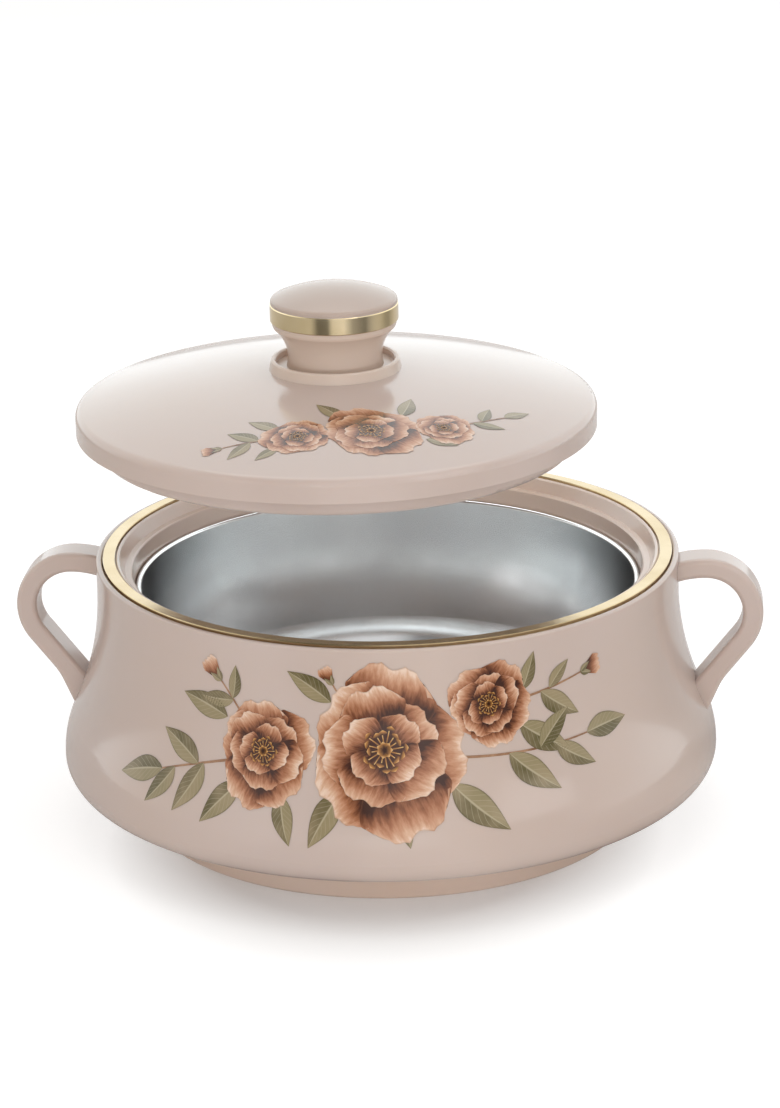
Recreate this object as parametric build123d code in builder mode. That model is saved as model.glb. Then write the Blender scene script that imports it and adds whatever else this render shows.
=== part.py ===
from build123d import *

import os
from math import asin, atan2, cos, degrees, hypot, radians, sin, sqrt, tan

# Insulated serving casserole: a bell-shaped pot with a steel bowl, a gilt rim and two strap handles,
# and a domed lid with a knob, held above the pot.  Millimetres, +Z up, +X to the right handle.
# The origin is on the table, at the centre of the foot.

os.makedirs("parts", exist_ok=True)

# ---- Driving dimensions ---------------------------------------------------------------------------
# Clearances
fit_gap = 0.3  # between pieces that drop into one another
trim_gap = 0.2  # shadow line on either side of the gilt ring
foam_gap = 0.2  # round the foam, which fills its cavity
bead_gap = 0.35  # round the bowl's rolled rim
screw_gap = 0.2

# Bell-shaped shell
rim_height = 105.0
neck_radius = 112.3  # upright wall below the rim
neck_upright = 12.7  # height of that wall; the hollow neck runs into it
belly_radius = 127.5
belly_height = 26.5  # of the widest circle
belly_round = 35.0  # above the widest circle
corner_round = 9.0  # below the widest circle
shell_wall = 2.4
lip_round = 1.0
lip_drop = 0.8  # from the gilt ring's face down to the shell's lip

# Foot and base plate
foot_radius = 97.5
foot_height = 8.5
foot_taper = 0.6  # the foot is this much narrower at the table
foot_wall = 2.4
foot_seat = 7.5  # width of the ring on which the shell stands
foot_reveal = 0.5  # step between the shell and the foot
foot_edge = 0.6
base_recess = 2.6  # from the table up to the base plate
base_plate = 2.2
base_spigot_height = 4.0  # above the shell's floor
base_spigot_wall = 2.4
base_rib_radii = (38.0, 66.0)
base_rib_height = 1.0
base_rib_width = 1.6

# Hole in the base plate through which the foam is filled, and its plug
fill_hole_radius = 7.0
fill_flange_radius = 10.5
fill_flange = 1.2

# Strap handles
handle_overhang = 32.6  # of a loop beyond the neck
handle_drop = 2.1  # from the rim down to the top of a loop
handle_arch = 42.0  # outside of the arch from the neck to the top of the loop
handle_round = 22.0  # outside of the loop
handle_thickness = 7.8
handle_width = 14.6
handle_slant = 52.0  # of the lower run, degrees above the horizontal
handle_edge = 2.0
root_drop = 49.5  # from the handle's top down to where its root steepens
root_slant = 67.0
root_round = 26.0

# Gilt ring in the rim
trim_width = 4.7
trim_thickness = 1.6
trim_edge = 0.25

# Stepped collar between the rim and the bowl
collar_wall = 2.0
collar_lip = 1.3  # width of the collar's own edge inside the gilt ring
collar_drop = 0.7  # from the gilt ring's face down to that edge
collar_edge = 0.5
collar_skirt = 5.0  # outside, down the shell's neck
lid_seat_drop = 5.6  # from the rim down to the ledge that carries the lid
lid_seat_width = 2.6
lid_play = 1.8  # between the lid's skirt and the collar
collar_draft = 0.8  # by which the wall below the ledge narrows
bowl_drop = 12.0  # from the rim down to the top of the bowl's rim

# Steel bowl
bowl_gauge = 0.7
bead_radius = 0.8  # middle of the rolled sheet
bowl_taper = 5.0  # degrees
bowl_corner = 30.0  # middle of the sheet
bowl_floor = 15.5

# Lid
lid_inset = 12.9  # from the outside of the neck in to the lid's skirt
lid_skirt = 6.2  # upright part of the skirt
lid_corner = 3.2
lid_height = 23.0  # of the dome, were it not flattened under the knob
lid_wall = 2.4
liner_wall = 1.8
liner_recess = 0.5  # from the skirt's edge up to the liner's flange
plug_inset = 8.2  # from the skirt in to the plug
plug_taper = 0.9
plug_depth = 7.4
plug_round = 2.4
plug_panel_radius = 70.0
plug_panel_rise = 1.4

# Knob
dish_radius = 25.2
dish_lean = 0.9  # by which the dish narrows up to its rim
dish_height = 4.0
dish_wall = 1.7
dish_floor = 1.4
dish_edge = 0.5
waist_radius = 18.0
waist_height = 3.7  # above the dish's floor
waist_round = 15.0
shoulder_radius = 23.6
shoulder_edge = 0.6
neck_height = 17.6
neck_wall = 2.4
neck_step = 1.9  # of the wall's inside above the waist
neck_spigot = 2.8
boss_radius = 5.0
boss_height = 12.6
band_radius = 24.4
band_wall = 1.2
band_height = 6.6
band_edge = 0.3
cap_radius = 24.1
cap_side = 0.8
cap_corner = 1.6
cap_rise = 7.0
cap_wall = 1.4
cap_spigot = 2.8

# Screw that holds the knob from inside the lid
screw_radius = 2.4
screw_length = 15.0
screw_head_radius = 4.6
screw_head = 2.8
screw_head_edge = 1.0
slot_width = 1.2
slot_length = 12.0  # past both sides of the head
slot_depth = 1.3
washer_radius = 7.0
washer_thickness = 1.0
pocket_gap = 2.0  # between the screw and the foam round it

# Where the lid is held
lid_lift = 55.2
lift_slope = 1 / 3  # to the left for each millimetre upwards

# ---- Sizes and places worked out from them --------------------------------------------------------
lip_height = rim_height - lip_drop
collar_top = rim_height - collar_drop
shell_inner = neck_radius - shell_wall
shell_seat_radius = foot_radius + foot_reveal
shell_hole_radius = foot_radius - foot_seat
base_top = base_recess + base_plate
base_spigot_outer = shell_hole_radius - fit_gap
base_spigot_inner = base_spigot_outer - base_spigot_wall
base_spigot_top = foot_height + shell_wall + base_spigot_height

handle_reach = neck_radius + handle_overhang
handle_top = rim_height - handle_drop

lid_radius = neck_radius - lid_inset
plug_radius = lid_radius - plug_inset

trim_outer = shell_inner - trim_gap
trim_inner = trim_outer - trim_width
trim_seat = rim_height - trim_thickness

collar_outer = trim_inner - trim_gap  # outside of the collar's lip
collar_inner = collar_outer - collar_lip
lid_seat_height = rim_height - lid_seat_drop
lid_seat_outer = lid_radius + lid_play
lid_seat_inner = lid_seat_outer - lid_seat_width
collar_foot = lid_seat_inner - collar_draft

bead_outside = bead_radius + bowl_gauge / 2
bead_x = collar_foot - bead_gap - bead_outside
bead_z = rim_height - bowl_drop - bead_outside
shelf_height = bead_z - bead_outside - bead_gap
shelf_inner = bead_x - bead_radius + bowl_gauge / 2 + bead_gap

screw_hole_radius = screw_radius + screw_gap
band_inner = band_radius - band_wall
knob_spigot_radius = band_inner - fit_gap

lid_shift = lid_lift * lift_slope
lid_axis = Axis((-lid_shift, 0, 0), (0, 0, 1))


def save(piece, label):
    """Label a finished piece and write it."""
    piece.part.label = label
    export_step(piece.part, f"parts/{label}.step")


def lid_plane(height):
    """Upright plane through the lid's axis, with its zero at this height over the skirt's edge."""
    place = (-lid_shift, 0, lid_seat_height + lid_lift + height)
    return Plane(origin=place, x_dir=(1, 0, 0), z_dir=(0, -1, 0))


def lid_level(height):
    """Level plane at this height over the skirt's edge, centred on the lid's axis."""
    return Plane(origin=lid_plane(height).origin, z_dir=(0, 0, 1))


def bell_curve(inset, top):
    """Draw the bell's wall, moved in by inset, from its floor up to height top, and give its two ends.

    A slanted underside, the round at the belly's corner, the belly, the hollow neck and the upright
    wall follow one another without a break."""
    corner_x = belly_radius - corner_round
    rise = belly_height - foot_height
    run = corner_x - shell_seat_radius
    slope = atan2(rise, run) - asin(corner_round / hypot(rise, run))
    floor_end = (shell_seat_radius - inset * tan(slope / 2), foot_height + inset)
    corner = corner_round - inset
    corner_start = (corner_x + corner * sin(slope), belly_height - corner * cos(slope))

    # The neck's round touches the belly's from outside and ends upright at the neck's wall.
    belly_x = belly_radius - belly_round
    neck_z = rim_height - neck_upright
    across, up = neck_radius - belly_x, neck_z - belly_height
    neck_round = (across**2 + up**2 - belly_round**2) / (2 * (belly_round - across))
    neck_x = neck_radius + neck_round
    turn = degrees(atan2(up, neck_x - belly_x))
    rim_end = (neck_radius - inset, top)

    Line(floor_end, corner_start)
    CenterArc((corner_x, belly_height), corner, degrees(slope) - 90, 90 - degrees(slope))
    CenterArc((belly_x, belly_height), belly_round - inset, 0, turn)
    CenterArc((neck_x, neck_z), neck_round + inset, 180 + turn, -turn)
    Line((neck_radius - inset, neck_z), rim_end)
    return floor_end, rim_end


def bowl_curve(outset):
    """Draw the bowl's sheet, moved out by outset from its middle, from the axis up to the rolled rim.

    The wall leans by the taper and runs into the rolled rim and the bottom corner without a break."""
    lean = radians(bowl_taper)
    corner_z = bowl_floor + bowl_corner
    # The wall is a tangent of the rolled rim's middle and of the corner's.
    wall_x = bead_x - (bead_z - corner_z) * tan(lean)
    corner_x = wall_x - (bead_radius + bowl_corner) / cos(lean)
    corner = bowl_corner + outset
    corner_end = (corner_x + corner * cos(lean), corner_z - corner * sin(lean))
    bead = bead_radius - outset
    wall_end = (bead_x - bead * cos(lean), bead_z + bead * sin(lean))
    floor_start = (0, bowl_floor - outset)
    Line(floor_start, (corner_x, bowl_floor - outset))
    CenterArc((corner_x, corner_z), corner, -90, 90 - bowl_taper)
    Line(corner_end, wall_end)
    return floor_start, wall_end


def dome_of(radius, side, corner, height):
    """Radius, centre height and edge angle of the dome that meets the round over an upright side."""
    corner_x, drop = radius - corner, height - side
    dome = (corner_x**2 + drop**2 - corner**2) / (2 * (drop - corner))
    return dome, height - dome, atan2(side - height + dome, corner_x)


lid_dome, lid_dome_z, lid_lean = dome_of(lid_radius, lid_skirt, lid_corner, lid_height)
lid_flat = lid_dome_z + sqrt(lid_dome**2 - dish_radius**2)
liner_radius = lid_radius - lid_wall - fit_gap
neck_foot = lid_flat + dish_floor


def lid_curve(inset, bottom):
    """Draw the lid's skirt, dome and the flat under the knob, moved in by inset, and give its ends."""
    flat = lid_flat - inset
    flat_x = sqrt((lid_dome - inset) ** 2 - (flat - lid_dome_z) ** 2)
    flat_lean = atan2(flat - lid_dome_z, flat_x)
    skirt_end, middle = (lid_radius - inset, bottom), (0, flat)
    Line(skirt_end, (lid_radius - inset, lid_skirt))
    CenterArc((lid_radius - lid_corner, lid_skirt), lid_corner - inset, 0, degrees(lid_lean))
    CenterArc((0, lid_dome_z), lid_dome - inset, degrees(lid_lean), degrees(flat_lean - lid_lean))
    Line((flat_x, flat), middle)
    return skirt_end, middle


def liner_curve(inset):
    """Draw the liner's underside, moved up by inset, from the flange's edge to the axis; give its ends."""
    draft = atan2(plug_taper, plug_depth + liner_recess)
    flange, floor = liner_recess + inset, inset - plug_depth
    panel, panel_x = floor + plug_panel_rise, plug_panel_radius + inset
    wall_x = plug_radius - inset / cos(draft)
    flange_end, middle = (liner_radius, flange), (0, panel)
    Polyline(
        flange_end,
        (wall_x + (flange + plug_depth) * tan(draft), flange),
        (wall_x + inset * tan(draft), floor),
        (panel_x, floor),
        (panel_x, panel),
        middle,
    )
    return flange_end, middle


# ---- Outer shell ----------------------------------------------------------------------------------
with BuildPart() as outer_shell:
    with BuildSketch(Plane.XZ) as section:
        with BuildLine():
            outside = bell_curve(0, lip_height)
            inside = bell_curve(shell_wall, lip_height)
            Line(outside[1], inside[1])
            Polyline(
                inside[0],
                (shell_hole_radius, foot_height + shell_wall),
                (shell_hole_radius, foot_height),
                outside[0],
            )
        make_face()
        fillet(section.vertices().group_by(Axis.Y)[-1], lip_round)
    revolve(axis=Axis.Z)
save(outer_shell, "outer_shell")

# ---- Strap handles --------------------------------------------------------------------------------
# Arch, loop and slanted run are concentric inside and outside; the bell trims both ends.
loop_x = handle_reach - handle_round
loop_z = handle_top - handle_round
loop_inner = handle_round - handle_thickness
slant = radians(handle_slant)
arch_z = handle_top - handle_arch
arch_inner = handle_arch - handle_thickness
buried_x = neck_radius - handle_thickness


def loop_end(radius):
    """Where the loop's edge of this radius runs into the slanted run."""
    return loop_x + radius * sin(slant), loop_z - radius * cos(slant)


def arch_edge(radius):
    """Draw the arch's edge of this radius from the top of the loop into the neck, and give its end."""
    turn = asin((loop_x - buried_x) / radius)
    CenterArc((loop_x, arch_z), radius, 90, degrees(turn))
    return buried_x, arch_z + radius * cos(turn)


def along_run(point, height):
    """The point of the slanted run through this point that lies at this height."""
    return point[0] - (point[1] - height) / tan(slant), height


with BuildPart() as bell:
    with BuildSketch(Plane.XZ):
        with BuildLine():
            ends = bell_curve(0, rim_height)
            Polyline(ends[0], (0, foot_height), (0, rim_height), ends[1])
        make_face()
    revolve(axis=Axis.Z)

root = along_run(loop_end(handle_round), handle_top - root_drop)
root_tip = (root[0] - handle_round / tan(radians(root_slant)), root[1] - handle_round)
inner_tip = along_run(loop_end(loop_inner), root_tip[1])
with BuildPart() as handle_right:
    with BuildSketch(Plane.XZ) as strap:
        with BuildLine():
            Line(arch_edge(handle_arch), arch_edge(arch_inner))
            CenterArc((loop_x, loop_z), handle_round, 90, handle_slant - 180)
            Polyline(loop_end(handle_round), root, root_tip, inner_tip, loop_end(loop_inner))
            CenterArc((loop_x, loop_z), loop_inner, 90, handle_slant - 180)
        make_face()
        fillet(strap.vertices().sort_by_distance(root)[0], root_round)
    extrude(amount=handle_width / 2, both=True)
    fillet(handle_right.faces().filter_by(Axis.Y).edges(), handle_edge)
    add(bell.part, mode=Mode.SUBTRACT)
save(handle_right, "handle_right")

with BuildPart() as handle_left:
    add(handle_right.part.mirror(Plane.YZ))
save(handle_left, "handle_left")

# ---- Gilt ring ------------------------------------------------------------------------------------
with BuildPart() as rim_trim_ring:
    with BuildSketch(Plane.XY.offset(trim_seat)):
        Circle(trim_outer)
        Circle(trim_inner, mode=Mode.SUBTRACT)
    extrude(amount=trim_thickness)
    chamfer(rim_trim_ring.faces().sort_by(Axis.Z)[-1].edges(), trim_edge)
save(rim_trim_ring, "rim_trim_ring")

# ---- Stepped collar -------------------------------------------------------------------------------
# From its lip inside the gilt ring it funnels down to the lid's ledge and on to the shelf under the
# bowl's rolled rim; its flange carries the gilt ring, and its skirt fits the shell's neck.
funnel_lean = atan2(collar_inner - lid_seat_outer, collar_top - lid_seat_height)
funnel_offset = lid_seat_outer + collar_wall / cos(funnel_lean)


def funnel_outside(height):
    """Outer radius of the funnel at this height."""
    return funnel_offset + (height - lid_seat_height) * tan(funnel_lean)


flange_under = trim_seat - collar_wall
ledge_under = lid_seat_height - collar_wall
shelf_under = shelf_height - collar_wall
lower_outside = lid_seat_inner + collar_wall
with BuildPart() as inner_collar:
    with BuildSketch(Plane.XZ) as section:
        with BuildLine():
            Polyline(
                (collar_inner, collar_top),
                (lid_seat_outer, lid_seat_height),
                (lid_seat_inner, lid_seat_height),
                (collar_foot, bead_z + bead_outside),
                (collar_foot, shelf_height),
                (shelf_inner, shelf_height),
                (shelf_inner, shelf_under),
                (lower_outside - collar_draft, shelf_under),
                (lower_outside, ledge_under),
                (funnel_outside(ledge_under), ledge_under),
                (funnel_outside(flange_under), flange_under),
                (trim_outer - collar_wall, flange_under),
                (trim_outer - collar_wall, flange_under - collar_skirt),
                (trim_outer, flange_under - collar_skirt),
                (trim_outer, trim_seat),
                (collar_outer, trim_seat),
                (collar_outer, collar_top),
                close=True,
            )
        make_face()
        chamfer(section.vertices().group_by(Axis.Y)[-1], collar_edge)
        chamfer(section.vertices().sort_by_distance((lid_seat_inner, lid_seat_height))[0], collar_edge)
    revolve(axis=Axis.Z)
save(inner_collar, "inner_collar")

# ---- Steel bowl -----------------------------------------------------------------------------------
# One sheet: floor, corner and leaning wall, with the rim rolled outwards into a closed bead.
with BuildPart() as steel_bowl:
    with BuildSketch(Plane.XZ):
        with BuildLine():
            inside = bowl_curve(-bowl_gauge / 2)
            outside = bowl_curve(bowl_gauge / 2)
            Line(inside[0], outside[0])
            Line(inside[1], outside[1])
        make_face()
        with Locations((bead_x, bead_z)):
            Circle(bead_outside)
    revolve(axis=Axis.Z)
save(steel_bowl, "steel_bowl")

# ---- Body foam ------------------------------------------------------------------------------------
# It fills the space between shell, base plate and bowl, up to the collar.
foam_floor = foot_height + shell_wall + foam_gap
foam_top = shelf_under - foam_gap
foam_foot = base_spigot_inner - foam_gap
with BuildPart() as body_foam:
    with BuildSketch(Plane.XZ):
        with BuildLine():
            ends = bell_curve(shell_wall + foam_gap, rim_height)
            Polyline(
                ends[0],
                (base_spigot_outer + foam_gap, foam_floor),
                (base_spigot_outer + foam_gap, base_spigot_top + foam_gap),
                (foam_foot, base_spigot_top + foam_gap),
                (foam_foot, base_top + foam_gap),
                (0, base_top + foam_gap),
                (0, rim_height),
                ends[1],
            )
        make_face()
    revolve(axis=Axis.Z)
    split(bisect_by=Plane.XY.offset(foam_top), keep=Keep.BOTTOM)
    with BuildSketch(Plane.XZ):
        with BuildLine():
            ends = bowl_curve(bowl_gauge / 2 + foam_gap)
            Polyline(ends[1], (0, ends[1][1]), ends[0])
        make_face()
    revolve(axis=Axis.Z, mode=Mode.SUBTRACT)
save(body_foam, "body_foam")

# ---- Base cap -------------------------------------------------------------------------------------
# The foot is a hollow ring; the shell stands on it, round a spigot, and the plate closes the bottom.
with BuildPart() as base_cap:
    with BuildSketch(Plane.XZ) as section:
        with BuildLine():
            Polyline(
                (0, base_recess),
                (base_spigot_outer, base_recess),
                (base_spigot_outer, foot_height - foot_wall),
                (foot_radius - foot_wall, foot_height - foot_wall),
                (foot_radius - foot_wall - foot_taper, 0),
                (foot_radius - foot_taper, 0),
                (foot_radius, foot_height),
                (base_spigot_outer, foot_height),
                (base_spigot_outer, base_spigot_top),
                (base_spigot_inner, base_spigot_top),
                (base_spigot_inner, base_top),
                (0, base_top),
                close=True,
            )
        make_face()
        chamfer(section.vertices().sort_by_distance((foot_radius - foot_taper, 0))[0], foot_edge)
    revolve(axis=Axis.Z)
    with BuildSketch(Plane.XY.offset(base_recess)):
        for radius in base_rib_radii:
            Circle(radius + base_rib_width / 2)
            Circle(radius - base_rib_width / 2, mode=Mode.SUBTRACT)
    extrude(amount=-base_rib_height)
    with Locations(Plane(origin=(0, 0, base_recess), z_dir=(0, 0, -1))):
        CounterBoreHole(fill_hole_radius, fill_flange_radius + fit_gap, fill_flange)
save(base_cap, "base_cap")

with BuildPart() as base_fill_plug:
    with BuildSketch(Plane.XY.offset(base_recess)):
        Circle(fill_flange_radius)
    extrude(amount=fill_flange)
    with BuildSketch(Plane.XY.offset(base_recess)):
        Circle(fill_hole_radius - fit_gap)
    extrude(amount=base_plate)
save(base_fill_plug, "base_fill_plug")

# ---- Lid cover ------------------------------------------------------------------------------------
with BuildPart() as lid_cover:
    with BuildSketch(lid_plane(0)):
        with BuildLine():
            outside = lid_curve(0, 0)
            inside = lid_curve(lid_wall, 0)
            Line(outside[0], inside[0])
            Line(outside[1], inside[1])
        make_face()
    revolve(axis=lid_axis)
    with Locations(lid_level(lid_flat)):
        Hole(screw_hole_radius)
save(lid_cover, "lid_cover")

# ---- Lid liner ------------------------------------------------------------------------------------
with BuildPart() as lid_liner:
    with BuildSketch(lid_plane(0)) as section:
        with BuildLine():
            underside = liner_curve(0)
            topside = liner_curve(liner_wall)
            Line(underside[0], topside[0])
            Line(underside[1], topside[1])
        make_face()
        fillet(section.vertices().sort_by_distance((plug_radius, -plug_depth))[0], plug_round)
    revolve(axis=lid_axis)
save(lid_liner, "lid_liner")

# ---- Lid foam -------------------------------------------------------------------------------------
screw_head_top = lid_flat - lid_wall - washer_thickness
pocket_floor = screw_head_top - screw_head - pocket_gap
with BuildPart() as lid_foam:
    with BuildSketch(lid_plane(0)):
        with BuildLine():
            bottom = liner_curve(liner_wall + foam_gap)
            top = lid_curve(lid_wall + foam_gap, bottom[0][1])
            Line(bottom[0], top[0])
            Line(bottom[1], top[1])
        make_face()
    revolve(axis=lid_axis)
    with BuildSketch(lid_level(pocket_floor)):
        Circle(washer_radius + pocket_gap)
    extrude(amount=lid_flat - pocket_floor, mode=Mode.SUBTRACT)
save(lid_foam, "lid_foam")

# ---- Knob -----------------------------------------------------------------------------------------
with BuildPart() as knob_collar:
    with BuildSketch(lid_plane(lid_flat)) as section:
        with BuildLine():
            Polyline(
                (screw_hole_radius, 0),
                (dish_radius, 0),
                (dish_radius - dish_lean, dish_height),
                (dish_radius - dish_lean - dish_wall, dish_height),
                (dish_radius - dish_lean - dish_wall, dish_floor),
                (screw_hole_radius, dish_floor),
                close=True,
            )
        make_face()
        chamfer(section.vertices().group_by(Axis.Y)[-1], dish_edge)
    revolve(axis=lid_axis)
save(knob_collar, "knob_collar")

# The neck is hollow, and a boss in the middle takes the screw.
waist_x = waist_radius + waist_round
neck_inner = waist_radius - neck_wall
shoulder_inner = shoulder_radius - neck_wall
shoulder_height = waist_height + sqrt(waist_round**2 - (waist_x - shoulder_radius) ** 2)
foot_x = waist_x - sqrt(waist_round**2 - waist_height**2)
with BuildPart() as knob_neck:
    with BuildSketch(lid_plane(neck_foot)) as section:
        with BuildLine():
            ThreePointArc((foot_x, 0), (waist_radius, waist_height), (shoulder_radius, shoulder_height))
            Polyline(
                (shoulder_radius, shoulder_height),
                (shoulder_radius, neck_height),
                (knob_spigot_radius, neck_height),
                (knob_spigot_radius, neck_height + neck_spigot),
                (shoulder_inner, neck_height + neck_spigot),
                (shoulder_inner, shoulder_height + neck_step),
                (neck_inner, waist_height + neck_wall),
                (neck_inner, neck_wall),
                (boss_radius, neck_wall),
                (boss_radius, boss_height),
                (screw_hole_radius, boss_height),
                (screw_hole_radius, 0),
                (foot_x, 0),
            )
        make_face()
        chamfer(section.vertices().sort_by_distance((shoulder_radius, shoulder_height))[0], shoulder_edge)
    revolve(axis=lid_axis)
save(knob_neck, "knob_neck")

with BuildPart() as knob_band:
    with BuildSketch(lid_level(neck_foot + neck_height)):
        Circle(band_radius)
        Circle(band_inner, mode=Mode.SUBTRACT)
    extrude(amount=band_height)
    chamfer(knob_band.edges().filter_by(GeomType.CIRCLE).sort_by(SortBy.RADIUS)[-2:], band_edge)
save(knob_band, "knob_band")

cap_foot = neck_foot + neck_height + band_height
cap_dome, cap_dome_z, cap_lean = dome_of(cap_radius, cap_side, cap_corner, cap_rise)
cap_inner = knob_spigot_radius - cap_wall
with BuildPart() as knob_cap:
    with BuildSketch(lid_plane(cap_foot)):
        with BuildLine():
            Line((cap_radius, 0), (cap_radius, cap_side))
            CenterArc((cap_radius - cap_corner, cap_side), cap_corner, 0, degrees(cap_lean))
            CenterArc((0, cap_dome_z), cap_dome, degrees(cap_lean), 90 - degrees(cap_lean))
            Polyline(
                (0, cap_rise),
                (0, cap_rise - cap_wall),
                (cap_inner, cap_dome_z + sqrt((cap_dome - cap_wall) ** 2 - cap_inner**2)),
                (cap_inner, -cap_spigot),
                (knob_spigot_radius, -cap_spigot),
                (knob_spigot_radius, 0),
                (cap_radius, 0),
            )
        make_face()
    revolve(axis=lid_axis)
save(knob_cap, "knob_cap")

# ---- Screw and washer inside the lid --------------------------------------------------------------
with BuildPart() as knob_screw:
    with BuildSketch(lid_level(screw_head_top)):
        Circle(screw_head_radius)
    extrude(amount=-screw_head)
    chamfer(knob_screw.faces().sort_by(Axis.Z)[0].edges(), screw_head_edge)
    with BuildSketch(lid_level(screw_head_top - screw_head)):
        Rectangle(slot_length, slot_width)
    extrude(amount=slot_depth, mode=Mode.SUBTRACT)
    with BuildSketch(lid_level(screw_head_top)):
        Circle(screw_radius)
    extrude(amount=screw_length)
save(knob_screw, "knob_screw")

with BuildPart() as knob_washer:
    with BuildSketch(lid_level(screw_head_top)):
        Circle(washer_radius)
        Circle(screw_hole_radius, mode=Mode.SUBTRACT)
    extrude(amount=washer_thickness)
save(knob_washer, "knob_washer")
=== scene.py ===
"""Looks of an insulated serving casserole with its lid held above the pot.

Lengths are in metres; only the printed flowers are drawn in millimetres and degrees, and laid on the
plastic in metres.  The pot's axis is the Z axis, and -Y is the front."""

from math import atan2, cos, degrees, pi, radians, sin

import bpy
import numpy as np
from mathutils import Matrix, Vector
from mathutils.bvhtree import BVHTree
from numpy.polynomial import Polynomial


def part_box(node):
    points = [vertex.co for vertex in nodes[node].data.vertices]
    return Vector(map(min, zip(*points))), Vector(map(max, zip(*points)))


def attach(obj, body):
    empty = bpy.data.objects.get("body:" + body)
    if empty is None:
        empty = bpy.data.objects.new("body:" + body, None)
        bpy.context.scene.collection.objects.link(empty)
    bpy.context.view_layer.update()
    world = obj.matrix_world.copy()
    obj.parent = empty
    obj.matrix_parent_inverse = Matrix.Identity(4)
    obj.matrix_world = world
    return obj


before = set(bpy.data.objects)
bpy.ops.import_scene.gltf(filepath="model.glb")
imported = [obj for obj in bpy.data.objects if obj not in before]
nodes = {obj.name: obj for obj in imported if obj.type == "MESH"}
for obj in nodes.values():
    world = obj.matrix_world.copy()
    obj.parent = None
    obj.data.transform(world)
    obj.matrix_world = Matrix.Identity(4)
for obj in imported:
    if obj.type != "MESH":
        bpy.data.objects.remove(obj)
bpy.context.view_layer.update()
MM = 0.001


# ---- Camera ---------------------------------------------------------------------------------------
IMAGE_HEIGHT = 1108  # pixels; the longer side, which the sensor is fitted to
FOCAL_PIXELS = 3600.0
SENSOR_MM = 36.0
CAMERA_REACH = 20.0  # farthest that it sees
CAMERA_DISTANCE = 1.39143
CAMERA_PITCH = radians(19.114)
CAMERA_ROLL = radians(1.102)
CAMERA_TURN = radians(5.0)  # round the pot, from straight in front
AIM = Vector((0.001052, 0, 0.101607))  # in the turned frame


def add_camera():
    """A long lens that looks down on the rim, a little from the right and a little rolled."""
    data = bpy.data.cameras.new("camera")
    data.sensor_width = SENSOR_MM
    data.lens = FOCAL_PIXELS / IMAGE_HEIGHT * SENSOR_MM
    data.clip_end = CAMERA_REACH
    camera = bpy.data.objects.new("camera", data)
    bpy.context.scene.collection.objects.link(camera)
    ahead = Vector((0, cos(CAMERA_PITCH), -sin(CAMERA_PITCH)))
    right = Vector((1, 0, 0))
    up = right.cross(ahead)
    rolled_right = right * cos(CAMERA_ROLL) - up * sin(CAMERA_ROLL)
    rolled_up = up * cos(CAMERA_ROLL) + right * sin(CAMERA_ROLL)
    stand = Matrix.Translation(AIM - ahead * CAMERA_DISTANCE)
    axes = Matrix((rolled_right, rolled_up, -ahead)).transposed().to_4x4()
    camera.matrix_world = Matrix.Rotation(CAMERA_TURN, 4, "Z") @ stand @ axes
    bpy.context.scene.camera = camera


# ---- Shader helpers -------------------------------------------------------------------------------
def srgb(red, green, blue):
    """A colour given as 0 to 255 display values, in linear light."""
    parts = np.array([red, green, blue]) / 255
    linear = np.where(parts <= 0.04045, parts / 12.92, ((parts + 0.055) / 1.055) ** 2.4)
    return (*map(float, linear), 1.0)


class Nodes:
    """Short ways to add nodes to a material or a world."""

    def __init__(self, owner):
        owner.use_nodes = True
        self.tree = owner.node_tree
        self.coordinates = self.add("ShaderNodeTexCoord").outputs

    def add(self, kind, settings=(), **inputs):
        """A node of this kind; settings are its own properties, inputs are values or sockets."""
        node = self.tree.nodes.new(kind)
        for name, value in dict(settings).items():
            setattr(node, name, value)
        for name, value in inputs.items():
            self.feed(node.inputs[name.replace("_", " ")], value)
        return node

    def feed(self, socket, value):
        """Link a socket, or set a value on the socket itself."""
        if isinstance(value, bpy.types.NodeSocket):
            self.tree.links.new(value, socket)
        else:
            socket.default_value = value

    def math(self, operation, first, second=0.0):
        node = self.add("ShaderNodeMath", {"operation": operation})
        for socket, value in zip(node.inputs, (first, second)):
            self.feed(socket, value)
        return node.outputs[0]

    def range(self, value, low, high, new_low, new_high):
        """value from low to high, carried over to new_low to new_high and held there."""
        node = self.add("ShaderNodeMapRange")
        for socket, number in zip(node.inputs, (value, low, high, new_low, new_high)):
            self.feed(socket, number)
        return node.outputs[0]

    def ramp(self, value, *stops):
        """A colour ramp through (position, colour) stops."""
        node = self.add("ShaderNodeValToRGB", Fac=value)
        elements = node.color_ramp.elements
        while len(elements) < len(stops):
            elements.new(0.5)
        for element, (position, colour) in zip(elements, stops):
            element.position, element.color = position, colour
        return node.outputs["Color"]

    def mix(self, share, first, second):
        """The first colour, with this share of the second."""
        node = self.add("ShaderNodeMix", {"data_type": "RGBA"})
        for socket, value in zip((0, 6, 7), (share, first, second)):
            self.feed(node.inputs[socket], value)
        return node.outputs[2]

    def blend_in(self, light, share):
        """Put this share of a light's node over what reaches the output now."""
        output = self.tree.get_output_node("ALL").inputs["Surface"]
        blend = self.add("ShaderNodeMixShader", Fac=share)
        self.feed(blend.inputs[1], output.links[0].from_socket)
        self.feed(blend.inputs[2], light.outputs[0])
        self.feed(output, blend.outputs[0])


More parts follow.
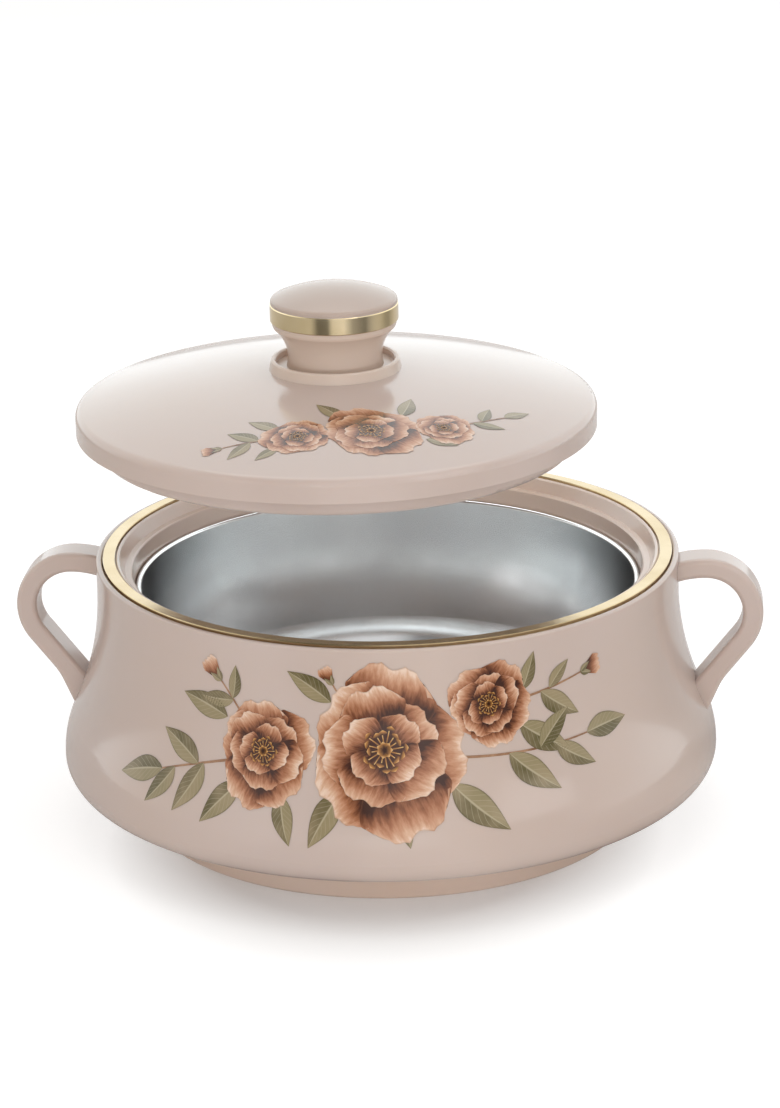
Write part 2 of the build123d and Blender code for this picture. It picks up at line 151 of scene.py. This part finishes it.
class Shader(Nodes):
    """A new material."""

    def __init__(self, name):
        self.material = bpy.data.materials.new(name)
        super().__init__(self.material)
        self.surface = self.tree.nodes["Principled BSDF"]
        self.place, self.uv = self.coordinates["Object"], self.coordinates["UV"]

    def noise(self, scale, detail=3.0, roughness=0.5, vector=None):
        """Noise between 0 and 1, with this many features a metre on Object coordinates."""
        fineness = {"Scale": scale, "Detail": detail, "Roughness": roughness}
        return self.add("ShaderNodeTexNoise", Vector=vector or self.place, **fineness).outputs["Fac"]

    def bump(self, height, strength, distance):
        node = self.add("ShaderNodeBump", Height=height, Strength=strength, Distance=distance)
        self.feed(self.surface.inputs["Normal"], node.outputs["Normal"])

    def set(self, **inputs):
        """Set or link the surface's own sockets."""
        for name, value in inputs.items():
            self.feed(self.surface.inputs[name.replace("_", " ")], value)


# ---- Materials ------------------------------------------------------------------------------------
BEIGE = srgb(199, 182, 174)
BEIGE_WARM = srgb(198, 179, 168)
# Lighter copies of the body's beige for the inner collar: painted light that makes up for the shade inside
# the rim.
COLLAR_PAINTED_LIGHT = srgb(240, 219, 206)
COLLAR_WARM_PAINTED_LIGHT = srgb(232, 208, 191)
# Lighter copies of the body's beige for the base cap and plug: painted light that makes up for the shade
# under the belly.
BASE_PAINTED_LIGHT = srgb(221, 200, 187)
BASE_WARM_PAINTED_LIGHT = srgb(215, 191, 175)
KNOB = srgb(211, 193, 180)
KNOB_WARM = srgb(210, 190, 174)
# Darker copies of the knob's beige for the cap: painted shade on the top of the knob.
CAP_PAINTED_SHADE = srgb(188, 171, 161)
CAP_WARM_PAINTED_SHADE = srgb(186, 167, 155)
RING_GILT, RING_GILT_DEEP = srgb(198, 178, 142), srgb(188, 166, 126)
BAND_GILT, BAND_GILT_DEEP = srgb(226, 208, 172), srgb(212, 192, 150)
STEEL, STEEL_WIPED = srgb(240, 241, 241), srgb(225, 226, 227)
ZINC_DULL, ZINC_BRIGHT = srgb(150, 152, 156), srgb(190, 191, 192)
FOAM_CELL, FOAM_WALL = srgb(214, 202, 168), srgb(240, 232, 206)

# Features a metre of the noise that varies each finish
DRIFT, SPECKS, SHEEN, ORANGE_PEEL = 9.0, 900.0, 35.0, 420.0
GILT_DRIFT, GILT_HAZE = 60.0, 300.0
SPUN_RINGS, WIPE_MARKS = 1800.0, 22.0
ZINC_MOTTLE, FOAM_CELLS = 500.0, 700.0


def varnish(shader, roughness=0.16, coat=0.25):
    """The gloss of moulded plastic: faint orange peel under a clear skin.

    A finish's roughness stays on one side of 0.27, about which a denoised picture shows patches."""
    sheen = shader.noise(SHEEN, detail=4.0)
    shader.set(
        Roughness=shader.range(sheen, 0.3, 0.7, roughness - 0.02, roughness + 0.04),
        IOR=1.5,
        Coat_Weight=coat,
        Coat_Roughness=0.06,
    )
    shader.bump(shader.noise(ORANGE_PEEL, detail=1.0), 0.03, 0.4 * MM)


def beige_gloss(name, light=BEIGE, warm=BEIGE_WARM, roughness=0.16, coat=0.25):
    """Glossy moulded plastic with a slow drift between two beiges and fine specks."""
    shader = Shader(name)
    drift = shader.range(shader.noise(DRIFT, detail=2.0), 0.35, 0.65, 0.0, 1.0)
    speck = shader.range(shader.noise(SPECKS, detail=2.0), 0.62, 0.74, 0.0, 0.25)
    shader.set(
        Base_Color=shader.mix(speck, shader.mix(drift, light, warm), warm),
        Subsurface_Weight=0.08,
        Subsurface_Radius=(6 * MM, 3.5 * MM, 2 * MM),
        Subsurface_Scale=1.0,
    )
    varnish(shader, roughness, coat)
    return shader.material


def gilt(name, pale, deep):
    """Polished champagne-gold plating, drifting between two tones."""
    shader = Shader(name)
    drift = shader.range(shader.noise(GILT_DRIFT), 0.35, 0.65, 0.0, 1.0)
    shader.set(
        Base_Color=shader.mix(drift, pale, deep),
        Metallic=1.0,
        Roughness=shader.range(shader.noise(GILT_HAZE), 0.3, 0.7, 0.10, 0.17),
    )
    return shader.material


def spun_rings(shader):
    """Noise that depends only on the height and the distance from the pot's axis."""
    split = shader.add("ShaderNodeSeparateXYZ", Vector=shader.place).outputs
    flat = shader.add("ShaderNodeCombineXYZ", X=split["X"], Y=split["Y"]).outputs[0]
    radius = shader.add("ShaderNodeVectorMath", {"operation": "LENGTH"}, Vector=flat).outputs["Value"]
    profile = shader.add("ShaderNodeCombineXYZ", X=radius, Y=split["Z"]).outputs[0]
    return shader.noise(SPUN_RINGS, detail=2.0, vector=profile)


def polished_steel():
    """Spun stainless steel: fine rings round the bowl's axis and a few wipe marks."""
    shader = Shader("polished_steel")
    wipes = shader.noise(WIPE_MARKS, detail=5.0, roughness=0.6)
    shader.set(
        Base_Color=shader.mix(shader.range(wipes, 0.35, 0.7, 0.0, 1.0), STEEL, STEEL_WIPED),
        Metallic=1.0,
        Roughness=shader.range(wipes, 0.3, 0.75, 0.14, 0.26),
        Anisotropic=0.5,
    )
    shader.bump(spun_rings(shader), 0.06, 0.1 * MM)
    return shader.material


def zinc_steel():
    """Zinc-plated screw steel, mottled and a little dull."""
    shader = Shader("zinc_steel")
    mottle = shader.noise(ZINC_MOTTLE, detail=4.0)
    shader.set(
        Base_Color=shader.ramp(mottle, (0.3, ZINC_DULL), (0.7, ZINC_BRIGHT)),
        Metallic=1.0,
        Roughness=shader.range(mottle, 0.3, 0.7, 0.3, 0.45),
    )
    return shader.material


def rigid_foam():
    """Cream insulating foam with open cells."""
    shader = Shader("rigid_foam")
    cells = shader.add("ShaderNodeTexVoronoi", Vector=shader.place, Scale=FOAM_CELLS).outputs["Distance"]
    shader.set(Base_Color=shader.ramp(cells, (0.0, FOAM_CELL), (0.7, FOAM_WALL)), Roughness=0.85)
    shader.bump(cells, 0.4, 0.4 * MM)
    return shader.material


def dress(material, *names):
    """Give these CAD nodes this material."""
    for name in names:
        mesh = nodes[name].data
        mesh.materials.clear()
        mesh.materials.append(material)


def dress_cad_nodes():
    dress(beige_gloss("beige_gloss"), "outer_shell", "handle_left", "handle_right", "lid_cover")
    dress(beige_gloss("beige_knob", KNOB, KNOB_WARM, 0.22, coat=0.0), "knob_collar", "knob_neck")
    # The cap's beige is darkened: painted shade on the top of the knob.
    dress(beige_gloss("beige_cap_painted_shade", CAP_PAINTED_SHADE, CAP_WARM_PAINTED_SHADE, 0.23, coat=0.0), "knob_cap")
    # The inner collar's beige is lightened: painted light for the shade under the lid.
    dress(beige_gloss("beige_collar_painted_light", COLLAR_PAINTED_LIGHT, COLLAR_WARM_PAINTED_LIGHT, 0.2), "inner_collar")
    dress(beige_gloss("beige_liner", roughness=0.22), "lid_liner")
    # The base's beige is lightened: painted light for the shade under the belly.
    dress(beige_gloss("beige_base_painted_light", BASE_PAINTED_LIGHT, BASE_WARM_PAINTED_LIGHT, 0.3), "base_cap", "base_fill_plug")
    dress(gilt("ring_gilt", RING_GILT, RING_GILT_DEEP), "rim_trim_ring")
    dress(gilt("band_gilt", BAND_GILT, BAND_GILT_DEEP), "knob_band")
    dress(polished_steel(), "steel_bowl")
    dress(zinc_steel(), "knob_screw", "knob_washer")
    dress(rigid_foam(), "body_foam", "lid_foam")


# ---- Printed flowers ------------------------------------------------------------------------------
# Petals, leaves and stems are thin grids laid on the plastic.  A grid's U runs from its root to its
# tip; its V is the grid's own number plus 0 to 1 across, so that no two petals share their streaks.
INK_LIFT = 0.15 * MM  # of the lowest layer over the plastic
LAYER_LIFT = 0.012 * MM  # of each further layer
STEM_LAYER, LEAF_LAYER = 0, 1
BUD_LAYER, SEPAL_LAYER = 3, 6
STAMEN_LAYER, ANTHER_LAYER, SEED_LAYER = 22, 23, 24
PRINT_RADIUS = 118 * MM  # on which lengths round the pot are measured
PRINT_LOW, PRINT_HIGH = 30 * MM, 103 * MM  # heights between which the pot's wall is followed
WALL_POINTS, WALL_DEGREE = 60, 11  # of the smooth curve that follows the wall
PRINT_INNER, PRINT_OUTER = 28 * MM, 94 * MM  # distances from the lid's axis, likewise
DOME_POINTS, DOME_DEGREE = 40, 3
LID_TURN = radians(14)  # of the lid's print, anticlockwise from above
STEM_WIDTH = 1.2  # millimetres
LEAF_WIDTH = 0.42  # of its length
LEAF_BEND = 0.1
BLOSSOM_RINGS = (  # petals' length and width in radii, their number, turn, first layer, root's tone
    (1.0, 1.14, 5, 0, 3, -0.85),
    (0.76, 0.84, 5, 30, 9, -0.7),
    (0.5, 0.54, 4, 50, 15, -0.45),
)
STAMENS = 16
SEEDS = 7


PETAL_TONES = (  # from the root to the rim
    (0.0, srgb(60, 28, 14)),
    (0.18, srgb(106, 58, 32)),
    (0.4, srgb(158, 102, 70)),
    (0.6, srgb(190, 138, 106)),
    (0.82, srgb(212, 172, 144)),
    (1.0, srgb(230, 204, 184)),
)
PETAL_RIM = srgb(128, 76, 46)
STEM_TONES = (0.35, srgb(126, 88, 62)), (0.65, srgb(176, 138, 108))
HEART_TONES = (0.2, srgb(78, 44, 24)), (0.7, srgb(176, 118, 52)), (1.0, srgb(226, 184, 112))
SAGE_DARK, SAGE_LIGHT, SAGE_FADED = srgb(96, 87, 54), srgb(142, 130, 96), srgb(168, 150, 120)
SAGE_VEIN, SAGE_RIM = srgb(182, 170, 142), srgb(70, 64, 40)
VEINS_ALONG, VEIN_SLANT = 9.0, 2.2
WASH, FADE, TWIG_STRETCHES = 55.0, 90.0, 160.0  # features a metre


def along_and_across(shader):
    """U, V, and how far to one side: -0.5 at one edge, 0 on the middle line, 0.5 at the other edge."""
    split = shader.add("ShaderNodeSeparateXYZ", Vector=shader.uv).outputs
    return split["X"], split["Y"], shader.math("SUBTRACT", shader.math("FRACT", split["Y"]), 0.5)


def edge_of(shader, side):
    """Distance from the middle line: 0 on it, 1 at either edge."""
    return shader.math("MULTIPLY", shader.math("ABSOLUTE", side), 2.0)


def petal_ink():
    """Petal painted from a deep brown root to a pale rim, in streaks, shaded to one side."""
    shader = Shader("petal_ink")
    along, across, side = along_and_across(shader)
    stretch = {"X": shader.math("MULTIPLY", along, 2.2), "Y": shader.math("MULTIPLY", across, 17.0)}
    brush = shader.add("ShaderNodeCombineXYZ", **stretch).outputs[0]
    streak = shader.range(shader.noise(1.0, 5.0, 0.6, brush), 0.25, 0.75, -0.22, 0.18)
    wash = shader.range(shader.noise(WASH), 0.3, 0.7, -0.16, 0.12)
    tone = shader.math("ADD", shader.math("ADD", along, streak), wash)
    shade = shader.range(side, 0.0, 0.5, 0.0, 0.3)
    painted = shader.ramp(shader.math("SUBTRACT", tone, shade), *PETAL_TONES)
    sides = shader.range(edge_of(shader, side), 0.93, 1.0, 0.0, 0.5)
    tip = shader.range(along, 0.95, 1.0, 0.0, 0.4)
    shader.set(Base_Color=shader.mix(shader.math("MAXIMUM", sides, tip), painted, PETAL_RIM))
    varnish(shader)
    return shader.material


def leaf_ink():
    """Sage leaf: one half lighter, pale midrib and side veins, darker rim."""
    shader = Shader("leaf_ink")
    along, _, side = along_and_across(shader)
    edge = edge_of(shader, side)
    halves = shader.mix(shader.range(side, -0.06, 0.06, 0.0, 1.0), SAGE_DARK, SAGE_LIGHT)
    green = shader.mix(shader.range(shader.noise(FADE), 0.35, 0.7, 0.0, 0.6), halves, SAGE_FADED)
    slant = shader.math("MULTIPLY", edge, VEIN_SLANT)
    rise = shader.math("SUBTRACT", shader.math("MULTIPLY", along, VEINS_ALONG), slant)
    vein = shader.range(shader.math("PINGPONG", rise, 0.5), 0.0, 0.09, 0.5, 0.0)
    rib = shader.range(edge, 0.03, 0.1, 0.85, 0.0)
    veined = shader.mix(shader.math("MAXIMUM", vein, rib), green, SAGE_VEIN)
    shader.set(Base_Color=shader.mix(shader.range(edge, 0.86, 1.0, 0.0, 0.7), veined, SAGE_RIM))
    varnish(shader)
    return shader.material


def stem_ink():
    """Brown twig with lighter stretches."""
    shader = Shader("stem_ink")
    shader.set(Base_Color=shader.ramp(shader.noise(TWIG_STRETCHES), *STEM_TONES))
    varnish(shader)
    return shader.material


def heart_ink():
    """Dark seeds and golden stamens."""
    shader = Shader("heart_ink")
    shader.set(Base_Color=shader.ramp(along_and_across(shader)[0], *HEART_TONES))
    varnish(shader)
    return shader.material


INKS = {"petal": petal_ink(), "leaf": leaf_ink(), "stem": stem_ink(), "heart": heart_ink()}


def surface_of(name):
    """Rays cast at a CAD node: a function of their starts and way that gives the points they meet."""
    tree = BVHTree.FromObject(nodes[name], bpy.context.evaluated_depsgraph_get())
    return lambda starts, way: np.array([tree.ray_cast(start, way)[0] for start in starts])


def pot_wall():
    """Places print on the pot: millimetres round the wall from its front, and height.

    The radius is a smooth curve of the height through points of the shell's front."""
    heights = np.linspace(PRINT_LOW, PRINT_HIGH, WALL_POINTS)
    meet = surface_of("outer_shell")([(0, -2 * PRINT_RADIUS, height) for height in heights], (0, 1, 0))
    radius = Polynomial.fit(heights, -meet[:, 1], WALL_DEGREE)
    slope = radius.deriv()

    def place(across, up, lift):
        angle, height = across * MM / PRINT_RADIUS, up * MM
        outward = np.array([np.sin(angle), -np.cos(angle), 0 * angle])
        upward = np.array([[0], [0], [1]])
        lean = slope(height)
        normal = (outward - upward * lean) / np.sqrt(1 + lean**2)
        return outward * radius(height) + upward * height + normal * lift

    return place


def lid_top():
    """Places print on the lid: millimetres to the right of its axis, and behind it, on the turned lid.

    The height is a smooth curve of the squared distance from the axis through points of the dome."""
    low, high = (np.array(corner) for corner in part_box("lid_cover"))
    axis = (low + high) / 2
    distances = np.linspace(PRINT_INNER, PRINT_OUTER, DOME_POINTS)
    meet = surface_of("lid_cover")([(axis[0], axis[1] - far, 2 * high[2]) for far in distances], (0, 0, -1))
    height = Polynomial.fit(distances**2, meet[:, 2], DOME_DEGREE)
    slope = height.deriv()
    turn = np.array([[cos(LID_TURN), -sin(LID_TURN)], [sin(LID_TURN), cos(LID_TURN)]])

    def place(across, back, lift):
        flat = turn @ np.array([across, back]) * MM
        square = (flat**2).sum(axis=0)
        lean = 2 * flat * slope(square)
        normal = np.array([-lean[0], -lean[1], np.ones_like(square)]) / np.sqrt(1 + (lean**2).sum(axis=0))
        return np.array([flat[0] + axis[0], flat[1] + axis[1], height(square)]) + normal * lift

    return place


class Ink:
    """Printed grids of one colour, gathered into one piece."""

    def __init__(self, name, body, material):
        self.name, self.body, self.material = name, body, material
        self.points, self.faces, self.uvs, self.grids = [], [], [], 0

    def patch(self, place, grid, root, angle, layer, root_tone=0.0):
        """Lay grid, an array of (along, across) millimetres, with its root at a point and turned.  U runs
        from root_tone to 1."""
        rows, columns, _ = grid.shape
        turn = np.array([[cos(angle), sin(angle)], [-sin(angle), cos(angle)]])
        flat = grid.reshape(-1, 2) @ turn + root
        first = len(self.points)
        self.points += place(flat[:, 0], flat[:, 1], INK_LIFT + layer * LAYER_LIFT).T.tolist()
        tones = np.linspace(root_tone, 1, rows)
        along, across = np.meshgrid(tones, np.linspace(0.01, 0.99, columns), indexing="ij")
        self.uvs += list(zip(along.ravel(), across.ravel() + self.grids))
        corner = first + np.arange(rows - 1)[:, None] * columns + np.arange(columns - 1)
        quads = np.stack([corner, corner + columns, corner + columns + 1, corner + 1], axis=-1)
        self.faces += quads.reshape(-1, 4).tolist()
        self.grids += 1

    def finish(self):
        """Make the piece, with its faces turned outwards."""
        mesh = bpy.data.meshes.new(self.name)
        mesh.from_pydata(self.points, [], self.faces)
        layer = mesh.uv_layers.new(name="print")
        corners = np.empty(len(mesh.loops), dtype=np.int32)
        mesh.loops.foreach_get("vertex_index", corners)
        layer.data.foreach_set("uv", np.array(self.uvs, dtype=np.float32)[corners].ravel())
        mesh.polygons.foreach_set("use_smooth", np.ones(len(mesh.polygons), dtype=bool))
        mesh.materials.append(self.material)
        piece = bpy.data.objects.new(self.name, mesh)
        bpy.context.scene.collection.objects.link(piece)
        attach(piece, self.body)


def blade(length, half_width, bend, rows=21, columns=9):
    """Points s along and t across a blade: x = length s, y = half_width(s) t + bend length s^2, with s
    from 0 to 1 and t from -1 to 1."""
    s, t = np.meshgrid(np.linspace(0, 1, rows), np.linspace(-1, 1, columns), indexing="ij")
    return np.stack([length * s, half_width(s) * t + bend * length * s**2], axis=-1)


def petal_grid(length, width, bend, notch=0.13, ripple=0.014):
    """Broad blade with a rounded, notched end: x = length s (1 - 0.34 s^2 |t|^2.4 - notch s^3 (1 - |t|)^3
    + ripple s^3 cos 7 pi t), y = width / 2 sin(pi (0.05 + 0.62 s)) t + bend length s^2."""
    s, t = np.meshgrid(np.linspace(0, 1, 25), np.linspace(-1, 1, 21), indexing="ij")
    side = abs(t)
    end = 1 - 0.34 * s**2 * side**2.4 - notch * s**3 * (1 - side) ** 3 + ripple * s**3 * np.cos(7 * pi * t)
    y = width / 2 * np.sin(pi * (0.05 + 0.62 * s)) * t + bend * length * s**2
    return np.stack([length * s * end, y], axis=-1)


def leaf_grid(length, width, bend=0.0):
    """Blade with a pointed end: half_width(s) = width / 2 sin(pi s^0.8)."""
    return blade(length, lambda s: width / 2 * np.sin(pi * s**0.8), bend)


def stem_grid(length, width, bend):
    """Ribbon that thins to half its width: half_width(s) = width / 2 (1 - s / 2)."""
    return blade(length, lambda s: width / 2 * (1 - s / 2), bend, rows=25, columns=3)


class Spray:
    """Flowers, leaves and stems printed on one surface."""

    def __init__(self, prefix, body, place):
        self.place = place
        self.stems = Ink(f"{prefix}_stems", body, INKS["stem"])
        self.leaves = Ink(f"{prefix}_leaves", body, INKS["leaf"])
        self.petals = Ink(f"{prefix}_petals", body, INKS["petal"])
        self.hearts = Ink(f"{prefix}_hearts", body, INKS["heart"])

    def stem(self, x, y, length, angle, bend, leaves=(), bud=0):
        """A twig with leaves, each given as (share of its length, turn to one side, leaf's length), and
        a bud of this length."""
        turn = radians(angle)
        self.stems.patch(self.place, stem_grid(length, STEM_WIDTH, bend), (x, y), turn, STEM_LAYER)

        def at(share):
            """The point at this share of the twig's length, and the way the twig goes there."""
            ahead, aside = length * share, bend * length * share**2
            across = x + ahead * cos(turn) - aside * sin(turn)
            up = y + ahead * sin(turn) + aside * cos(turn)
            return across, up, angle + degrees(atan2(2 * bend * share, 1))

        for share, side, size in leaves:
            root_x, root_y, ahead = at(share)
            self.leaf(root_x, root_y, size, ahead + side, LEAF_BEND if side < 0 else -LEAF_BEND)
        if bud:
            root_x, root_y, ahead = at(0.98)
            self.bud(root_x, root_y, bud, ahead)

    def leaf(self, x, y, length, angle, bend=LEAF_BEND, layer=LEAF_LAYER):
        shape = leaf_grid(length, LEAF_WIDTH * length, bend)
        self.leaves.patch(self.place, shape, (x, y), radians(angle), layer)

    def ring(self, x, y, length, width, count, turn, layer, root_tone):
        """Petals round a centre, each over the one before, with a little sway and change of size."""
        for number in range(count):
            angle = radians(turn) + 2 * pi * number / count
            sway = 0.1 * sin(2.7 * number + turn)
            size = 1 + 0.1 * cos(1.9 * number + turn)
            shape = petal_grid(length * size, width, bend=sway)
            self.petals.patch(self.place, shape, (x, y), angle, layer + number, root_tone)

    def blossom(self, x, y, radius, turn):
        """An open flower: three rings of petals, each smaller than the last, and a heart with stamens."""
        for length, width, count, turned, layer, root_tone in BLOSSOM_RINGS:
            self.ring(x, y, length * radius, width * radius, count, turn + turned, layer, root_tone)
        anther = leaf_grid(0.06 * radius, 0.1 * radius)
        for number in range(STAMENS):
            angle = radians(turn) + 2 * pi * number / STAMENS
            reach = radius * (0.19 + 0.04 * cos(5 * angle))
            stamen = stem_grid(reach, 0.02 * radius, 0.05)
            self.hearts.patch(self.place, stamen, (x, y), angle, STAMEN_LAYER)
            tip = (x + reach * cos(angle), y + reach * sin(angle))
            self.hearts.patch(self.place, anther, tip, angle, ANTHER_LAYER)
        seed = leaf_grid(0.1 * radius, 0.1 * radius)
        for number in range(SEEDS):
            self.hearts.patch(self.place, seed, (x, y), 2 * pi * number / SEEDS, SEED_LAYER)

    def bud(self, x, y, length, angle):
        """A closed flower: three petals folded together, held by two small leaves."""
        for number, sway in enumerate((-0.16, 0.16, 0.0)):
            shape = petal_grid(length, 0.5 * length, bend=sway)
            self.petals.patch(self.place, shape, (x, y), radians(angle), BUD_LAYER + number, -0.3)
        for side, bend in ((-28, LEAF_BEND), (28, -LEAF_BEND)):
            self.leaf(x, y, 0.5 * length, angle + side, bend, SEPAL_LAYER)

    def finish(self):
        for ink in (self.stems, self.leaves, self.petals, self.hearts):
            ink.finish()


def print_pot():
    """A spray across the pot's front, with its largest flower in the middle."""
    spray = Spray("pot_print", "pot", pot_wall())
    spray.stem(-38, 62, 46, 192, 0.07, [(0.55, 52, 21), (0.6, -48, 21), (0.84, 42, 18), (0.97, -8, 22)])
    spray.stem(-38, 62, 32, 122, 0.1, [(0.72, 58, 15), (0.74, -52, 13)], bud=11)
    spray.stem(10, 66, 80, -9, 0.12, [(0.56, -44, 24), (0.72, 46, 19), (0.8, -40, 19), (0.98, 4, 21)])
    spray.stem(50, 80, 40, 4, 0.07, [(0.5, -48, 20), (0.6, 42, 13)], bud=11)
    spray.stem(4, 70, 26, 132, -0.1, bud=8)
    for x, y, length, angle in (
        (-54, 74, 22, 160),
        (-46, 52, 21, -136),
        (-30, 50, 18, -80),
        (-12, 84, 20, 142),
        (-8, 52, 22, -124),
        (14, 47, 14, -86),
        (32, 54, 26, -48),
        (60, 72, 24, -38),
        (62, 84, 15, 64),
    ):
        spray.leaf(x, y, length, angle)
    spray.blossom(-38, 64, 20, 25)
    spray.blossom(48, 81, 17, 62)
    spray.blossom(8, 67, 31, 5)
    spray.finish()


def print_lid():
    """A smaller spray on the front of the lid, which has been turned a little in the lifting."""
    spray = Spray("lid_print", "lid", lid_top())
    spray.stem(-24, -66, 28, 172, 0.1, [(0.5, -46, 14), (0.62, 50, 13)], bud=8)
    spray.stem(30, -66, 28, 22, 0.05, [(0.45, -46, 12), (0.6, 46, 12), (0.97, 8, 12)])
    for x, y, length, angle in (
        (-30, -59, 14, 128),
        (-32, -72, 11, 206),
        (-6, -56, 16, 112),
        (16, -56, 16, 62),
        (22, -74, 12, -28),
    ):
        spray.leaf(x, y, length, angle)
    spray.blossom(-24, -66, 13.5, 15)
    spray.blossom(30, -66, 11.5, 50)
    spray.blossom(3, -67, 19, 30)
    spray.finish()


# ---- Studio ---------------------------------------------------------------------------------------
WHITE = (1, 1, 1, 1)
FLOOR_HALF = 3.0
FLOOR_GLOW = 1.6  # strength of the white that the camera sees mixed into the floor
FLOOR_GLOW_SHARE = 0.42
FLOOR_GLOW_SHARE_PAINTED_SHADOW = 0.1  # under the pot's front, where the floor is given a deep painted shadow
PAINTED_SHADOW_CORE, PAINTED_SHADOW_EDGE = 85 * MM, 130 * MM  # distances between which the glow's share grows, so that the painted shadow fades out
AMBIENT_LEFT = (0.51, 0.47, 0.43, 1)
AMBIENT_RIGHT = (0.66, 0.66, 0.66, 1)
MIRRORED_BEHIND = 1.7  # strength of the white behind the pot that metal and gloss show
MIRRORED_WHITE = (0.94, 0.99, 1.0, 1)
LAMPS_AIM = (0, 0, 0.1)
SOFTBOXES = (  # name, place, width, height, watts, whether metal and gloss show it
    ("key_softbox", (-0.9, -1.1, 1.0), 0.5, 0.85, 2.0, False),
    ("fill_softbox", (1.2, -0.8, 0.9), 0.8, 1.0, 3.2, True),
    ("top_softbox", (0.0, 0.3, 1.6), 1.4, 1.2, 5.0, True),
    ("back_softbox", (-0.3, 1.4, 0.7), 1.4, 0.8, 2.2, False),
    ("low_softbox", (0.05, -1.6, 0.2), 1.0, 0.3, 6.2, False),
)


def grey(level):
    return (level, level, level, 1)


def lamps_and_gaps(shader, way):
    """Greys from left to right that mirrored rays see in front: lamps, and the dark room between them."""
    return shader.ramp(
        shader.range(way["X"], -1.0, 1.0, 0.0, 1.0),
        (0.0, grey(0.72)),
        (0.2, grey(0.76)),
        (0.29, grey(0.18)),
        (0.44, grey(0.22)),
        (0.5, grey(0.83)),
        (0.68, grey(1.0)),
        (0.8, grey(0.43)),
        (0.94, grey(0.22)),
        (1.0, grey(0.72)),
    )


def floor_white():
    """White for the camera, with the soft shadow under the foot, and a painted shadow under the pot's
    front;
    mirrored rays see painted lamps and gaps in it.
    """
    shader = Shader("floor_white")
    path = shader.add("ShaderNodeLightPath").outputs
    out = shader.add("ShaderNodeVectorMath", {"operation": "NORMALIZE"}, Vector=shader.place).outputs[0]
    way = shader.add("ShaderNodeSeparateXYZ", Vector=out).outputs
    white = shader.ramp(shader.noise(3.0), (0.0, grey(0.86)), (1.0, grey(0.9)))
    # Painted reflection: mirrored rays see the floor in front painted with the greys of lamps and a dark
    # room between them.
    mirrored = shader.math("MULTIPLY", path["Is Glossy Ray"], shader.range(way["Y"], 0.3, 0.8, 1.0, 0.0))
    shader.set(
        Base_Color=shader.mix(mirrored, white, lamps_and_gaps(shader, way)),
        Roughness=0.9,
        Specular_IOR_Level=0.1,
    )
    # Painted shadow: the camera sees less of the white glow in a squeezed circle round the pot's front, so
    # the floor is darker there.
    squeeze = {"Location": (0, 30 * MM, 0), "Scale": (1.2, 1, 1)}
    squeezed = shader.add("ShaderNodeMapping", Vector=shader.place, **squeeze).outputs[0]
    away = shader.add("ShaderNodeVectorMath", {"operation": "LENGTH"}, Vector=squeezed).outputs["Value"]
    painted_shadow_share = shader.range(away, PAINTED_SHADOW_CORE, PAINTED_SHADOW_EDGE, FLOOR_GLOW_SHARE_PAINTED_SHADOW, FLOOR_GLOW_SHARE)
    glow = shader.add("ShaderNodeEmission", Color=WHITE, Strength=FLOOR_GLOW)
    shader.blend_in(glow, shader.math("MULTIPLY", path["Is Camera Ray"], painted_shadow_share))
    return shader.material


def add_floor():
    """A square that the foot stands on."""
    corners = [(-1, -1), (1, -1), (1, 1), (-1, 1)]
    mesh = bpy.data.meshes.new("floor")
    mesh.from_pydata([(x * FLOOR_HALF, y * FLOOR_HALF, 0) for x, y in corners], [], [(0, 1, 2, 3)])
    mesh.materials.append(floor_white())
    floor = bpy.data.objects.new("floor", mesh)
    bpy.context.scene.collection.objects.link(floor)


def light_world():
    """Even light and a white backdrop; mirrored rays see a studio that is bright behind, and has lamps
    with dark gaps in front."""
    world = bpy.data.worlds.new("studio")
    bpy.context.scene.world = world
    sky = Nodes(world)
    way = sky.add("ShaderNodeSeparateXYZ", Vector=sky.coordinates["Generated"]).outputs
    path = sky.add("ShaderNodeLightPath").outputs
    rightness = sky.range(way["X"], -1.0, 1.0, 0.0, 1.0)
    ambient = sky.tree.nodes["Background"]
    sky.feed(ambient.inputs["Color"], sky.mix(rightness, AMBIENT_LEFT, AMBIENT_RIGHT))
    sky.feed(ambient.inputs["Strength"], 1.0)
    behind = sky.range(way["Y"], -0.3, 0.35, 0.0, 1.0)
    mirrored = sky.add(
        "ShaderNodeBackground",
        Color=sky.mix(behind, lamps_and_gaps(sky, way), MIRRORED_WHITE),
        Strength=sky.range(behind, 0.0, 1.0, 1.0, MIRRORED_BEHIND),
    )
    sky.blend_in(mirrored, path["Is Glossy Ray"])
    backdrop = sky.add("ShaderNodeBackground", Color=WHITE, Strength=1.0)
    sky.blend_in(backdrop, path["Is Camera Ray"])


def add_softbox(name, place, width, height, watts, mirrored):
    """A rectangular lamp that faces the middle of the pot."""
    data = bpy.data.lights.new(name, "AREA")
    data.shape, data.size, data.size_y = "RECTANGLE", width, height
    data.energy = watts
    lamp = bpy.data.objects.new(name, data)
    bpy.context.scene.collection.objects.link(lamp)
    lamp.location = place
    lamp.visible_camera, lamp.visible_glossy = False, mirrored
    lamp.rotation_mode = "QUATERNION"
    lamp.rotation_quaternion = (Vector(LAMPS_AIM) - Vector(place)).to_track_quat("-Z", "Y")


add_camera()
dress_cad_nodes()
print_pot()
print_lid()
add_floor()
light_world()
for softbox in SOFTBOXES:
    add_softbox(*softbox)

bpy.context.scene.view_settings.view_transform = "Standard"
